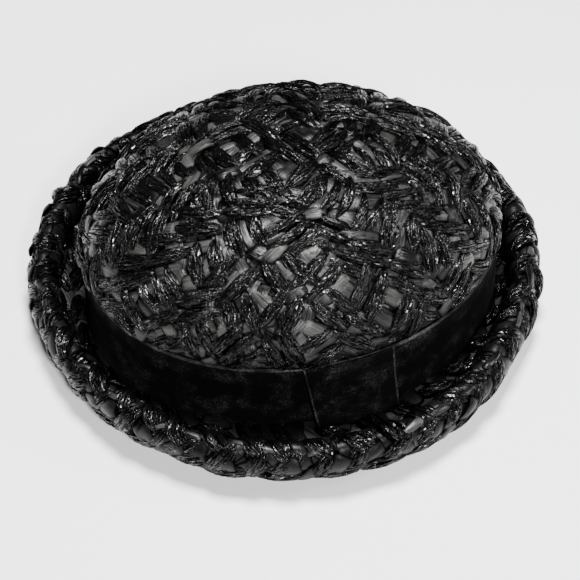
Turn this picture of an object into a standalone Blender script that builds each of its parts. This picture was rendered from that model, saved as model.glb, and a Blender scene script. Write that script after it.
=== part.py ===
# Pillbox hat of plaited straw, with a rolled edge and a velvet ribbon round its crown.
# Metres, +Z up. The hat stands on Z = 0, its front is towards -X, and its brim is centred on Z.
# Ovals are worked out round the brim's own centre, and the finished pieces are moved together.
import math
from collections import namedtuple

import bmesh
import bpy
from mathutils import Matrix

# Crown, measured over the straw at the top of its side wall, which spreads towards its foot
CROWN_HALF_LENGTH = 0.0998
CROWN_HALF_WIDTH = 0.0830
CROWN_WALL = 0.0025
WALL_SPREAD = 0.0015
DOME_RISE = 0.0524
DOME_POWER = 2.08
STRAW_OVERHANG = 0.0004
STRAW_SHOULDER = 0.0012

# Plait rows that the crown is sewn of
ROW_WIDTH = 0.0205
ROW_RELIEF = 0.0008

# Brim, as its reach past the top of the crown's wall in front, at the back and at each side
BRIM_FRONT_REACH = 0.0277
BRIM_BACK_REACH = 0.0207
BRIM_SIDE_REACH = 0.0402
BRIM_THICKNESS = 0.0030
BRIM_RISE = 0.0075
BRIM_LEVEL_WIDTH = 0.0045

# Where the brim is drawn in from its oval: the angle in degrees, how deep, and how narrow
Dent = namedtuple("Dent", "angle depth sharpness")
BRIM_DENTS = (
    Dent(angle=-43.0, depth=0.0048, sharpness=14.0),
    Dent(angle=-158.0, depth=0.0028, sharpness=7.0),
    Dent(angle=108.0, depth=0.0018, sharpness=20.0),
)

# Plait folded over the brim's edge
EDGE_THICKNESS = 0.0130
EDGE_HEIGHT = 0.0180
EDGE_DROP = 0.0020
EDGE_LAP = 0.0070
LOBE_COUNT = 28
LOBE_RELIEF = 0.0016
LOBE_SLANT = 0.55
LOBE_MEAN = 0.6

# Velvet ribbon and the tab that wraps its join
RIBBON_WIDTH = 0.0380
RIBBON_THICKNESS = 0.0010
TAB_THICKNESS = 0.0012
TAB_TOP_FRONT = -0.0215
TAB_TOP_BACK = 0.0215
TAB_FOOT_FRONT = -0.0160
TAB_FOOT_BACK = 0.0238
TAB_KICK = 0.0045
TAB_LIFT = 0.0008

# Gap kept between pieces that touch
PIECE_GAP = 0.0003

# Steps round each oval and one lobe of the edge, points on one row of plait and on the dome's line
OVAL_STEPS = 60
STEPS_PER_LOBE = 5
POINTS_PER_ROW = 3
DOME_LINE_STEPS = 400
TAB_COLUMNS = 8
TAB_ROWS = 3
WELD_DISTANCE = 0.00001
SHARP_ANGLE = 40.0

# The edge's section: how far in from its outer face and how far up, as shares of its thickness and
# height, and the share of the lobes' relief that a point takes
EdgePoint = namedtuple("EdgePoint", "inward up relief")
EDGE_SECTION = (
    EdgePoint(inward=0.25, up=0.00, relief=0.5),
    EdgePoint(inward=0.07, up=0.22, relief=1.0),
    EdgePoint(inward=0.00, up=0.50, relief=1.0),
    EdgePoint(inward=0.07, up=0.76, relief=1.0),
    EdgePoint(inward=0.26, up=0.95, relief=0.9),
    EdgePoint(inward=0.50, up=1.00, relief=0.8),
    EdgePoint(inward=0.76, up=0.95, relief=0.7),
    EdgePoint(inward=0.95, up=0.76, relief=0.5),
    EdgePoint(inward=1.00, up=0.54, relief=0.3),
    EdgePoint(inward=0.94, up=0.36, relief=0.1),
)

# How far in the edge's inner face meets the brim, as a share of the edge's thickness
EDGE_SEAT = 0.84

# Where the brim's rise is read, between its level floor (0) and its level edge (1)
BRIM_RISE_POINTS = (0.0, 0.35, 0.65, 1.0)

# Heights and centres that follow from the sizes above
crown_centre = (BRIM_FRONT_REACH - BRIM_BACK_REACH) / 2
brim_half_length = CROWN_HALF_LENGTH + (BRIM_FRONT_REACH + BRIM_BACK_REACH) / 2
brim_half_width = CROWN_HALF_WIDTH + BRIM_SIDE_REACH
crown_foot = BRIM_THICKNESS + PIECE_GAP
ribbon_top = crown_foot + RIBBON_WIDTH
edge_seat = BRIM_RISE + BRIM_THICKNESS + PIECE_GAP
edge_foot = edge_seat - EDGE_DROP


def clear_scene():
    """Remove whatever the file holds, and make one collection for the hat"""
    for thing in list(bpy.data.objects):
        bpy.data.objects.remove(thing, do_unlink=True)
    hat = bpy.data.collections.new("pillbox_hat")
    bpy.context.scene.collection.children.link(hat)
    return hat


def make_material(name, colour, roughness, sheen=0.0):
    material = bpy.data.materials.new(name)
    material.use_nodes = True
    shader = material.node_tree.nodes["Principled BSDF"]
    shader.inputs["Base Color"].default_value = (*colour, 1.0)
    shader.inputs["Roughness"].default_value = roughness
    shader.inputs["Metallic"].default_value = 0.0
    shader.inputs["Sheen Weight"].default_value = sheen
    return material


def add_piece(collection, name, mesh, material):
    """Put a finished mesh in the hat's collection, shaded smooth but for its sharp edges"""
    mesh.materials.append(material)
    mesh.shade_smooth()
    mesh.set_sharp_from_angle(angle=math.radians(SHARP_ANGLE))
    piece = bpy.data.objects.new(name, mesh)
    collection.objects.link(piece)
    return piece


def oval_point(angle, half_length, half_width, centre=0.0):
    """A point of a level oval whose long axis lies along X"""
    return centre + half_length * math.cos(angle), half_width * math.sin(angle)


def brim_point(angle, inset):
    """A point of the brim's outline, or of one drawn in from it, with the brim's dents"""
    for dent in BRIM_DENTS:
        turned = angle - math.radians(dent.angle)
        inset += dent.depth * max(0.0, math.cos(turned)) ** dent.sharpness
    return oval_point(angle, brim_half_length - inset, brim_half_width - inset)


def turned_oval(name, profile, half_width_share):
    """Turn a profile round Z with Screw, squeeze it to an oval and set it on the crown's centre"""
    mesh = bpy.data.meshes.new(name)
    corners = [(radius, 0.0, height) for radius, height in profile]
    edges = [(index, index + 1) for index in range(len(corners) - 1)]
    mesh.from_pydata(corners, edges, [])
    guide = bpy.data.objects.new(name + "_profile", mesh)
    bpy.context.scene.collection.objects.link(guide)
    screw = guide.modifiers.new("turn", 'SCREW')
    screw.steps = OVAL_STEPS
    screw.render_steps = OVAL_STEPS
    screw.use_merge_vertices = True
    screw.merge_threshold = WELD_DISTANCE
    view = bpy.context.evaluated_depsgraph_get()
    turned = bpy.data.meshes.new_from_object(guide.evaluated_get(view))
    bpy.data.objects.remove(guide, do_unlink=True)
    turned.name = name
    turned.transform(Matrix.Diagonal((1.0, half_width_share, 1.0, 1.0)))
    turned.transform(Matrix.Translation((crown_centre, 0.0, 0.0)))
    return turned


def wall_spread(height):
    """How far the crown's side wall has spread at a height, from none at the ribbon's top edge"""
    return WALL_SPREAD * (ribbon_top - height) / RIBBON_WIDTH


def add_wall(piece, thickness, offset):
    """Give an open surface its wall: offset -1 grows it inwards, and 1 grows it outwards"""
    wall = piece.modifiers.new("wall", 'SOLIDIFY')
    wall.thickness = thickness
    wall.offset = offset


def ring_loft(name, steps, section_at):
    """Loft a closed ring through the section that section_at gives, as a list of points, at each angle"""
    model = bmesh.new()
    rings = []
    for step in range(steps):
        corners = section_at(2 * math.pi * step / steps)
        rings.append([model.verts.new(corner) for corner in corners])
    for step, ring in enumerate(rings):
        following = rings[(step + 1) % steps]
        for index in range(len(ring)):
            after = (index + 1) % len(ring)
            model.faces.new((ring[index], following[index], following[after], ring[after]))
    bmesh.ops.recalc_face_normals(model, faces=model.faces)
    mesh = bpy.data.meshes.new(name)
    model.to_mesh(mesh)
    model.free()
    return mesh


def dome_profile():
    """The crown's outer line from its tip to its foot, with a low ridge for each row of plait"""
    half_length = CROWN_HALF_LENGTH + PIECE_GAP + RIBBON_THICKNESS + STRAW_OVERHANG
    base = ribbon_top + PIECE_GAP + STRAW_SHOULDER
    line = []
    for step in range(DOME_LINE_STEPS + 1):
        turn = math.pi / 2 * step / DOME_LINE_STEPS
        out_share = max(0.0, math.cos(turn)) ** (2 / DOME_POWER)
        up_share = math.sin(turn) ** (2 / DOME_POWER)
        line.append((half_length * out_share, base + DOME_RISE * up_share))
    reached = [0.0]
    for near, far in zip(line, line[1:]):
        reached.append(reached[-1] + math.dist(near, far))
    row_count = max(1, round(reached[-1] / ROW_WIDTH))
    point_count = row_count * POINTS_PER_ROW
    profile = []
    for number in range(point_count):
        wanted = reached[-1] * number / point_count
        index = max(1, next(place for place, length in enumerate(reached) if length >= wanted))
        near, far = line[index - 1], line[index]
        step_length = math.dist(near, far)
        share = (wanted - reached[index - 1]) / step_length
        radius = near[0] + (far[0] - near[0]) * share
        height = near[1] + (far[1] - near[1]) * share
        ridge = ROW_RELIEF if number % POINTS_PER_ROW else 0.0
        profile.append((radius + ridge * (far[1] - near[1]) / step_length,
                        height - ridge * (far[0] - near[0]) / step_length))
    profile.append((0.0, line[-1][1]))
    profile.reverse()
    profile.append((CROWN_HALF_LENGTH, ribbon_top + PIECE_GAP))
    leaning_foot = crown_foot + CROWN_WALL * WALL_SPREAD / RIBBON_WIDTH
    for height in (crown_foot + RIBBON_WIDTH / 2, leaning_foot):
        profile.append((CROWN_HALF_LENGTH + wall_spread(height), height))
    return profile


def make_crown(collection, straw):
    mesh = turned_oval("crown", dome_profile(), CROWN_HALF_WIDTH / CROWN_HALF_LENGTH)
    crown = add_piece(collection, "crown", mesh, straw)
    add_wall(crown, CROWN_WALL, -1.0)


def make_brim(collection, straw):
    """A level floor round the crown's foot that rises to a level edge under the folded plait"""
    outer_inset = EDGE_THICKNESS - EDGE_LAP + PIECE_GAP
    seat_inset = EDGE_THICKNESS * EDGE_SEAT
    foot_half_length = CROWN_HALF_LENGTH + WALL_SPREAD
    foot_half_width = foot_half_length * CROWN_HALF_WIDTH / CROWN_HALF_LENGTH

    def section_at(angle):
        def crown_oval(outset):
            return oval_point(angle, foot_half_length + outset, foot_half_width + outset, crown_centre)

        level_end = crown_oval(BRIM_LEVEL_WIDTH)
        rise_end = brim_point(angle, seat_inset)
        under = [(*crown_oval(-CROWN_WALL), 0.0)]
        for share in BRIM_RISE_POINTS:
            x = level_end[0] + (rise_end[0] - level_end[0]) * share
            y = level_end[1] + (rise_end[1] - level_end[1]) * share
            under.append((x, y, BRIM_RISE * share * share * (3.0 - 2.0 * share)))
        under.append((*brim_point(angle, outer_inset), BRIM_RISE))
        over = [(x, y, z + BRIM_THICKNESS) for x, y, z in reversed(under)]
        return under + over

    add_piece(collection, "brim", ring_loft("brim", OVAL_STEPS, section_at), straw)


def make_edge_braid(collection, straw):
    """The plait folded over the brim's edge: a thick roll whose lobes lean round it"""
    lap_inset = EDGE_THICKNESS - EDGE_LAP
    foot_corners = ((EDGE_THICKNESS * EDGE_SEAT, edge_seat), (lap_inset, edge_seat), (lap_inset, edge_foot))

    def section_at(angle):
        corners = []
        for point in EDGE_SECTION:
            along = LOBE_COUNT * angle / (2 * math.pi) + LOBE_SLANT * point.up
            lobe = abs(math.sin(math.pi * along)) - LOBE_MEAN
            relief = LOBE_RELIEF * point.relief * lobe
            inset = EDGE_THICKNESS * point.inward - relief * (1.0 - 2.0 * point.inward)
            rise = edge_foot + EDGE_HEIGHT * point.up + relief * max(0.0, 2.0 * point.up - 1.0)
            corners.append((*brim_point(angle, inset), rise))
        for inset, rise in foot_corners:
            corners.append((*brim_point(angle, inset), rise))
        return corners

    mesh = ring_loft("edge_braid", LOBE_COUNT * STEPS_PER_LOBE, section_at)
    add_piece(collection, "edge_braid", mesh, straw)


def make_hat_band(collection, velvet):
    half_length = CROWN_HALF_LENGTH + PIECE_GAP
    half_width = CROWN_HALF_WIDTH + PIECE_GAP
    profile = []
    for height in (ribbon_top, crown_foot + RIBBON_WIDTH / 2, crown_foot):
        profile.append((half_length + wall_spread(height), height))
    mesh = turned_oval("hat_band", profile, half_width / half_length)
    hat_band = add_piece(collection, "hat_band", mesh, velvet)
    add_wall(hat_band, RIBBON_THICKNESS, 1.0)


def make_band_tab(collection, velvet):
    """A grid laid on the band at the wearer's left, -Y, with both its edges aslant and its foot kicked out"""
    outset = PIECE_GAP + RIBBON_THICKNESS + PIECE_GAP
    half_length = CROWN_HALF_LENGTH + outset
    half_width = CROWN_HALF_WIDTH + outset
    model = bmesh.new()
    bmesh.ops.create_grid(model, x_segments=TAB_COLUMNS, y_segments=TAB_ROWS, size=0.5)
    for corner in model.verts:
        across = corner.co.x + 0.5
        up = corner.co.y + 0.5
        front = TAB_FOOT_FRONT + (TAB_TOP_FRONT - TAB_FOOT_FRONT) * up
        back = TAB_FOOT_BACK + (TAB_TOP_BACK - TAB_FOOT_BACK) * up
        place = front + (back - front) * across
        height = crown_foot + TAB_LIFT + (RIBBON_WIDTH - TAB_LIFT) * up
        grown = 1.0 + wall_spread(height) / half_length
        angle = math.asin(place / (half_length * grown)) - math.pi / 2
        x, y = oval_point(angle, half_length * grown, half_width * grown, crown_centre)
        corner.co = (x, y - TAB_KICK * (1.0 - up) ** 2, height)
    bmesh.ops.recalc_face_normals(model, faces=model.faces)
    model.faces.ensure_lookup_table()
    if model.faces[0].normal.y > 0:
        bmesh.ops.reverse_faces(model, faces=model.faces)
    mesh = bpy.data.meshes.new("band_tab")
    model.to_mesh(mesh)
    model.free()
    band_tab = add_piece(collection, "band_tab", mesh, velvet)
    add_wall(band_tab, TAB_THICKNESS, 1.0)


def centre_hat(collection):
    """Move every piece alike, so that the edge, which reaches furthest each way, is centred on Z"""
    corners = [corner.co for corner in collection.objects["edge_braid"].data.vertices]
    middle_x = (min(place.x for place in corners) + max(place.x for place in corners)) / 2
    middle_y = (min(place.y for place in corners) + max(place.y for place in corners)) / 2
    for piece in collection.objects:
        piece.data.transform(Matrix.Translation((-middle_x, -middle_y, 0.0)))


hat_collection = clear_scene()
crown_straw = make_material("crown_straw", (0.020, 0.021, 0.020), 0.38)
brim_straw = make_material("brim_straw", (0.018, 0.019, 0.018), 0.42)
edge_straw = make_material("edge_straw", (0.022, 0.023, 0.022), 0.36)
band_velvet = make_material("band_velvet", (0.006, 0.006, 0.007), 0.90, sheen=0.4)
tab_velvet = make_material("tab_velvet", (0.007, 0.007, 0.008), 0.88, sheen=0.4)
make_crown(hat_collection, crown_straw)
make_brim(hat_collection, brim_straw)
make_edge_braid(hat_collection, edge_straw)
make_hat_band(hat_collection, band_velvet)
make_band_tab(hat_collection, tab_velvet)
centre_hat(hat_collection)
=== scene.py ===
# Looks of a pillbox hat of plaited black straw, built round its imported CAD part.
import math
import random

import bpy
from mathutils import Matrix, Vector


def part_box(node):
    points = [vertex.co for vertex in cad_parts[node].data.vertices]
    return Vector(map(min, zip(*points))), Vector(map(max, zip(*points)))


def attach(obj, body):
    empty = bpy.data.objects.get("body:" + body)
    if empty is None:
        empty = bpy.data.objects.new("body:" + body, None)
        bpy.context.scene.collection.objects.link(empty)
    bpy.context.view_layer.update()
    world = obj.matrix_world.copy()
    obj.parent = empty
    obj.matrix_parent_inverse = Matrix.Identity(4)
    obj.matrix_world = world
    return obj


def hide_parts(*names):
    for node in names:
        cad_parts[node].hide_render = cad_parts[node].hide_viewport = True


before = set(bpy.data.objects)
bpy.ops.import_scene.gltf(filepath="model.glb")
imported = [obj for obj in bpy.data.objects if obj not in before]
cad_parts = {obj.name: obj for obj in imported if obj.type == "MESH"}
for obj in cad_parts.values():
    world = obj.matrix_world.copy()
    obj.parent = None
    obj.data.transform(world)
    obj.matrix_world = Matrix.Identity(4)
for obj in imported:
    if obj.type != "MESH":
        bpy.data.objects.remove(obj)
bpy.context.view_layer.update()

# Floor, light and camera. A plain white surface in a dim white room, with a soft lamp overhead, one
# beside the camera and a weak one off to its right. The camera looks down from the hat's left and front.
CAMERA_AZIMUTH = -17.8
CAMERA_ELEVATION = 48.0
CAMERA_DISTANCE = 0.806
CAMERA_AIM = Vector((-0.0074, -0.0275, 0.0322))
CAMERA_LENS = 105.9
LAMPS = (
    {"name": "overhead_lamp", "place": (0.06, 0.07, 1.20), "width": 0.32, "watts": 47.0},
    {"name": "front_lamp", "place": (-0.05, -1.00, 0.85), "width": 0.18, "watts": 25.0},
    {"name": "side_lamp", "place": (1.00, -0.40, 0.65), "width": 0.22, "watts": 7.0},
)
ROOM_LIGHT = 0.025
FLOOR_WHITE = (0.90, 0.90, 0.90, 1.0)


def aim_at(thing, target):
    """Turn a camera or a lamp to look at a point"""
    thing.rotation_euler = (target - thing.location).to_track_quat("-Z", "Y").to_euler()


def start_material(name):
    """A new material, its node tree and its shader"""
    material = bpy.data.materials.new(name)
    material.use_nodes = True
    return material, material.node_tree, material.node_tree.nodes["Principled BSDF"]


scene = bpy.context.scene
camera = bpy.data.objects.new("camera", bpy.data.cameras.new("camera"))
camera.data.lens = CAMERA_LENS
camera.data.sensor_width = 36.0
turn = math.radians(CAMERA_AZIMUTH)
tilt = math.radians(CAMERA_ELEVATION)
towards_camera = Vector((math.sin(turn) * math.cos(tilt), -math.cos(turn) * math.cos(tilt), math.sin(tilt)))
camera.location = CAMERA_AIM + towards_camera * CAMERA_DISTANCE
aim_at(camera, CAMERA_AIM)
scene.collection.objects.link(camera)
scene.camera = camera
for row in LAMPS:
    lamp = bpy.data.objects.new(row["name"], bpy.data.lights.new(row["name"], 'AREA'))
    lamp.data.size = row["width"]
    lamp.data.energy = row["watts"]
    lamp.location = row["place"]
    aim_at(lamp, CAMERA_AIM)
    scene.collection.objects.link(lamp)
bpy.ops.mesh.primitive_plane_add(size=6.0)
floor = bpy.context.object
floor.name = "floor"
paint, _, shader = start_material("floor_white")
shader.inputs["Base Color"].default_value = FLOOR_WHITE
shader.inputs["Roughness"].default_value = 0.8
floor.data.materials.append(paint)
room = bpy.data.worlds.new("white_room")
room.use_nodes = True
background = room.node_tree.nodes["Background"]
background.inputs["Color"].default_value = (1.0, 1.0, 1.0, 1.0)
background.inputs["Strength"].default_value = ROOM_LIGHT
scene.world = room

# Back of the crown. The real one is a shell of sewn plait, whose dark underside shows inside the hat
# and between the bundles. It is one closed wall from the crown's foot over the tip and back down
# inside. Its surface also carries the bundles, flat straws and folds of the sections after this one.
CROWN_SKIN = 0.0027
CROWN_BACK_WALL = 0.0020
DOME_POWER = 2.08
SHOULDER_STEP = 0.0010
FOOT_FLARE = 1.012
FLOOR_GAP = 0.0002
ROW_PITCH = 0.0176
STEPS_ROUND = 180
LINE_STEPS = 64
WELD = 0.00002


class Field:
    """A number that a node tree works out, which takes part in sums, so that a formula reads as one"""

    def __init__(self, tree, socket):
        self.tree = tree
        self.socket = socket

    def step(self, operation, *others):
        node = self.tree.nodes.new("ShaderNodeMath")
        node.operation = operation
        for place, value in zip(node.inputs, (self, *others)):
            feed(self.tree, place, value)
        return Field(self.tree, node.outputs[0])

    def __add__(self, other):
        return self.step('ADD', other)

    def __sub__(self, other):
        return self.step('SUBTRACT', other)

    def __mul__(self, other):
        return self.step('MULTIPLY', other)

    def __truediv__(self, other):
        return self.step('DIVIDE', other)

    def __pow__(self, other):
        return self.step('POWER', other)

    def taken_from(self, whole):
        return self.step('MULTIPLY_ADD', -1.0, whole)


def feed(tree, socket, value):
    """Give a socket a value, a field or another node's output"""
    if isinstance(value, Field):
        value = value.socket
    if isinstance(value, bpy.types.NodeSocket):
        tree.links.new(value, socket)
    else:
        socket.default_value = value


def put(tree, kind, feeds=None, **settings):
    """Add a node with its settings and what its inputs are fed with"""
    node = tree.nodes.new(kind)
    for name, value in settings.items():
        setattr(node, name, value)
    for key, value in (feeds or {}).items():
        feed(tree, node.inputs[key], value)
    return node


def start_tree(name, inputs, outputs, use='GeometryNodeTree'):
    """A node group, with its inputs and outputs given as tables of name to kind; gives it and its inputs"""
    tree = bpy.data.node_groups.new(name, use)
    for label, kind in inputs.items():
        tree.interface.new_socket(label, in_out='INPUT', socket_type='NodeSocket' + kind)
    for label, kind in outputs.items():
        tree.interface.new_socket(label, in_out='OUTPUT', socket_type='NodeSocket' + kind)
    given = tree.nodes.new("NodeGroupInput").outputs
    values = {}
    for label, kind in inputs.items():
        values[label] = Field(tree, given[label]) if kind == "Float" else given[label]
    return tree, values


def vector_parts(tree, socket):
    parts = put(tree, "ShaderNodeSeparateXYZ", {0: socket})
    return [Field(tree, output) for output in parts.outputs]


def named(tree, name):
    """A number that was stored on the mesh under a name"""
    return Field(tree, put(tree, "GeometryNodeInputNamedAttribute", {"Name": name}).outputs["Attribute"])


def store(tree, geometry, name, value):
    feeds = {"Geometry": geometry, "Name": name, "Value": value}
    return put(tree, "GeometryNodeStoreNamedAttribute", feeds).outputs["Geometry"]


OVAL_SIZES = ("Inner Centre", "Inner Length", "Inner Width", "Inner Dents", "Outer Centre", "Outer Length",
              "Outer Width", "Outer Dents", "Span", "Side Shift", "Cap Arc", "Cap Share", "Dome Base",
              "Dome Dent")
BRIM_DENTS = ({"angle": -43.0, "depth": 0.0032, "sharpness": 14.0},
              {"angle": -158.0, "depth": 0.0028, "sharpness": 7.0},
              {"angle": 108.0, "depth": 0.0018, "sharpness": 20.0})
DOME_DENT = {"angle": 45.0, "sharpness": 5.0, "fade": 0.030}


def start_layout(name, kinds):
    """A geometry tree that takes a mesh, a line and an oval's sizes besides the inputs given"""
    inputs = {"Geometry": "Geometry", "Line": "Object", **kinds, **{size: "Float" for size in OVAL_SIZES}}
    return start_tree(name, inputs, {"Geometry": "Geometry"})


def make_oval_tree():
    """Lay a mesh, given as angle, arc and lift, on the surface that a line makes round an oval"""
    tree, given = start_layout("lay_on_oval", {"Angle": "Float", "Arc": "Float", "Lift": "Float"})
    line = put(tree, "GeometryNodeObjectInfo", {"Object": given["Line"]}).outputs["Geometry"]
    sample = put(tree, "GeometryNodeSampleCurve", {"Curves": line, "Length": given["Arc"]}, mode='LENGTH')
    share, _, height = vector_parts(tree, sample.outputs["Position"])
    share_rate, _, height_rate = vector_parts(tree, sample.outputs["Tangent"])
    cosine = given["Angle"].step('COSINE')
    sine = given["Angle"].step('SINE')
    share = share / given["Span"]
    share_rate = share_rate / given["Span"]
    dent = given["Lift"] * 0.0
    for row in BRIM_DENTS:
        near = (given["Angle"] - math.radians(row["angle"])).step('COSINE').step('MAXIMUM', 0.0)
        dent = dent + (near ** row["sharpness"]) * row["depth"]
    pressed = (given["Angle"] - math.radians(DOME_DENT["angle"])).step('COSINE').step('MAXIMUM', 0.0)
    risen = ((height - given["Dome Base"]) / DOME_DENT["fade"]).step('MAXIMUM', 0.0).step('MINIMUM', 1.0)
    share = share - (pressed ** DOME_DENT["sharpness"]) * risen * share * given["Dome Dent"]
    inner_length = given["Inner Length"] - dent * given["Inner Dents"]
    inner_width = given["Inner Width"] - dent * given["Inner Dents"]
    outer_length = given["Outer Length"] - dent * given["Outer Dents"]
    outer_width = given["Outer Width"] - dent * given["Outer Dents"]
    inner_x = given["Inner Centre"] + inner_length * cosine
    inner_y = inner_width * sine
    reach_x = given["Outer Centre"] + outer_length * cosine - inner_x
    reach_y = outer_width * sine - inner_y
    half_length = inner_length + (outer_length - inner_length) * share
    half_width = inner_width + (outer_width - inner_width) * share
    place = put(tree, "ShaderNodeCombineXYZ", {
        "X": inner_x + reach_x * share, "Y": inner_y + reach_y * share + given["Side Shift"], "Z": height})
    round_way = put(tree, "ShaderNodeCombineXYZ", {"X": sine * half_length * -1.0, "Y": cosine * half_width})
    up_way = put(tree, "ShaderNodeCombineXYZ", {
        "X": reach_x * share_rate, "Y": reach_y * share_rate, "Z": height_rate})
    across = put(tree, "ShaderNodeVectorMath", {0: round_way.outputs[0], 1: up_way.outputs[0]},
                 operation='CROSS_PRODUCT')
    normal = put(tree, "ShaderNodeVectorMath", {0: across.outputs[0]}, operation='NORMALIZE')
    lift = put(tree, "ShaderNodeVectorMath", {0: normal.outputs[0], "Scale": given["Lift"]},
               operation='SCALE')
    total = put(tree, "ShaderNodeVectorMath", {0: place.outputs[0], 1: lift.outputs[0]}, operation='ADD')
    moved = put(tree, "GeometryNodeSetPosition", {
        "Geometry": given["Geometry"], "Position": total.outputs[0]})
    put(tree, "NodeGroupOutput", {"Geometry": moved.outputs[0]})
    return tree


oval_tree = make_oval_tree()


def lay_on_oval(tree, given, geometry, angle, arc, lift):
    """The steps above as one node of another tree, which passes its line and ovals on"""
    feeds = {"Geometry": geometry, "Line": given["Line"], "Angle": angle, "Arc": arc, "Lift": lift}
    feeds.update({name: given[name] for name in OVAL_SIZES})
    return put(tree, "GeometryNodeGroup", feeds, node_tree=oval_tree).outputs[0]


def noise(tree, across, along, scale=1.0):
    """A smooth random number from -1 to 1 that changes with two others"""
    place = put(tree, "ShaderNodeCombineXYZ", {"X": across, "Y": along})
    node = put(tree, "ShaderNodeTexNoise", {"Vector": place.outputs[0], "Scale": scale, "Detail": 1.0})
    return Field(tree, node.outputs[0]) * 2.0 - 1.0


def make_back_tree():
    """A closed wall round an oval: a grid whose X is the angle and whose Y runs round the line"""
    tree, given = start_layout("closed_wall", {
        "Line Length": "Float", "Relief": "Float", "Material": "Material"})
    across, along, _ = vector_parts(tree, put(tree, "GeometryNodeInputPosition").outputs[0])
    angle = across * (2.0 * math.pi)
    arc = along * given["Line Length"]
    kept = store(tree, given["Geometry"], "angle", angle)
    kept = store(tree, kept, "arc", arc)
    bumps = noise(tree, angle.step('COSINE') * 14.0 + arc * 150.0, angle.step('SINE') * 14.0)
    joined = (along * along.taken_from(1.0) * 12.0).step('MINIMUM', 1.0)
    moved = lay_on_oval(tree, given, kept, angle, arc, bumps * joined * given["Relief"])
    welded = put(tree, "GeometryNodeMergeByDistance", {"Geometry": moved, "Distance": WELD})
    done = put(tree, "GeometryNodeSetMaterial", {
        "Geometry": welded.outputs[0], "Material": given["Material"]})
    put(tree, "NodeGroupOutput", {"Geometry": done.outputs[0]})
    return tree


back_tree = make_back_tree()


def make_line(name, corners, closed=False):
    """A line of (distance out, height) as a curve, and its length"""
    curve = bpy.data.curves.new(name, 'CURVE')
    curve.dimensions = '3D'
    spline = curve.splines.new('POLY')
    spline.points.add(len(corners) - 1)
    for point, (out, height) in zip(spline.points, corners):
        point.co = (out, 0.0, height, 1.0)
    spline.use_cyclic_u = closed
    line = bpy.data.objects.new(name, curve)
    scene.collection.objects.link(line)
    ends = corners + corners[:1] if closed else corners
    return line, sum(math.dist(near, far) for near, far in zip(ends, ends[1:]))


def run_tree(name, start, tree, values):
    """Run a tree on a starting mesh with its named inputs, and keep what it makes as a plain piece"""
    guide = bpy.data.objects.new(name + "_guide", start)
    scene.collection.objects.link(guide)
    modifier = guide.modifiers.new("layout", 'NODES')
    modifier.node_group = tree
    for socket in tree.interface.items_tree:
        if socket.in_out == 'INPUT' and socket.name in values:
            modifier[socket.identifier] = values[socket.name]
    view = bpy.context.evaluated_depsgraph_get()
    mesh = bpy.data.meshes.new_from_object(guide.evaluated_get(view))
    bpy.data.objects.remove(guide, do_unlink=True)
    mesh.name = name
    piece = bpy.data.objects.new(name, mesh)
    scene.collection.objects.link(piece)
    return piece


def unit_grid(columns, rows):
    """A flat grid from 0 to 1 each way"""
    corners = [(column / columns, row / rows, 0.0)
               for row in range(rows + 1) for column in range(columns + 1)]
    faces = []
    for row in range(rows):
        for column in range(columns):
            first = row * (columns + 1) + column
            faces.append((first, first + 1, first + columns + 2, first + columns + 1))
    mesh = bpy.data.meshes.new("unit_grid")
    mesh.from_pydata(corners, [], faces)
    return mesh


def dome_line(half_length, base, tip):
    """The dome's outline from its base to its tip"""
    line = []
    for step in range(LINE_STEPS + 1):
        turn_up = math.pi / 2 * step / LINE_STEPS
        out = half_length * max(0.0, math.cos(turn_up)) ** (2 / DOME_POWER)
        line.append((out, base + (tip - base) * math.sin(turn_up) ** (2 / DOME_POWER)))
    return line


crown_low, crown_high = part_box("crown")
band_low, band_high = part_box("hat_band")
crown_centre = (crown_low.x + crown_high.x) / 2
crown_length = (crown_high.x - crown_low.x) / 2 - CROWN_SKIN
crown_width = (crown_high.y - crown_low.y) / 2 - CROWN_SKIN
dome_base = band_high.z + SHOULDER_STEP
dome_tip = crown_high.z - CROWN_SKIN
side_shift = (crown_high.y + crown_low.y) / 2
outer_line = dome_line(crown_length, dome_base, dome_tip)
dome_length = sum(math.dist(near, far) for near, far in zip(outer_line, outer_line[1:]))
width_share = crown_width / crown_length
crown_ovals = {"Inner Centre": crown_centre, "Inner Length": 0.0, "Inner Width": 0.0, "Inner Dents": 0.0,
               "Outer Centre": crown_centre, "Outer Length": crown_length, "Outer Width": crown_width,
               "Outer Dents": 0.0, "Span": crown_length, "Side Shift": side_shift,
               "Cap Arc": dome_length, "Cap Share": width_share, "Dome Base": dome_base, "Dome Dent": 0.035}

STRAW_DARK = (0.0003, 0.0003, 0.0003, 1.0)
FLAT_GREY = (0.0360, 0.0365, 0.0346, 1.0)
BACK_CELLS = 66
BACK_REACH = 0.09
BACK_RELIEF = 0.0003


def carried(tree, name):
    """A number that the mesh carries under a name, read by a material"""
    return Field(tree, put(tree, "ShaderNodeAttribute", attribute_name=name).outputs["Fac"])


def blend(tree, factor, low, high):
    """The colour between two that a factor, held from 0 to 1, gives"""
    mix = put(tree, "ShaderNodeMix", {"Factor": factor, 6: low, 7: high}, data_type='RGBA', clamp_factor=True)
    return mix.outputs[2]


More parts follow.
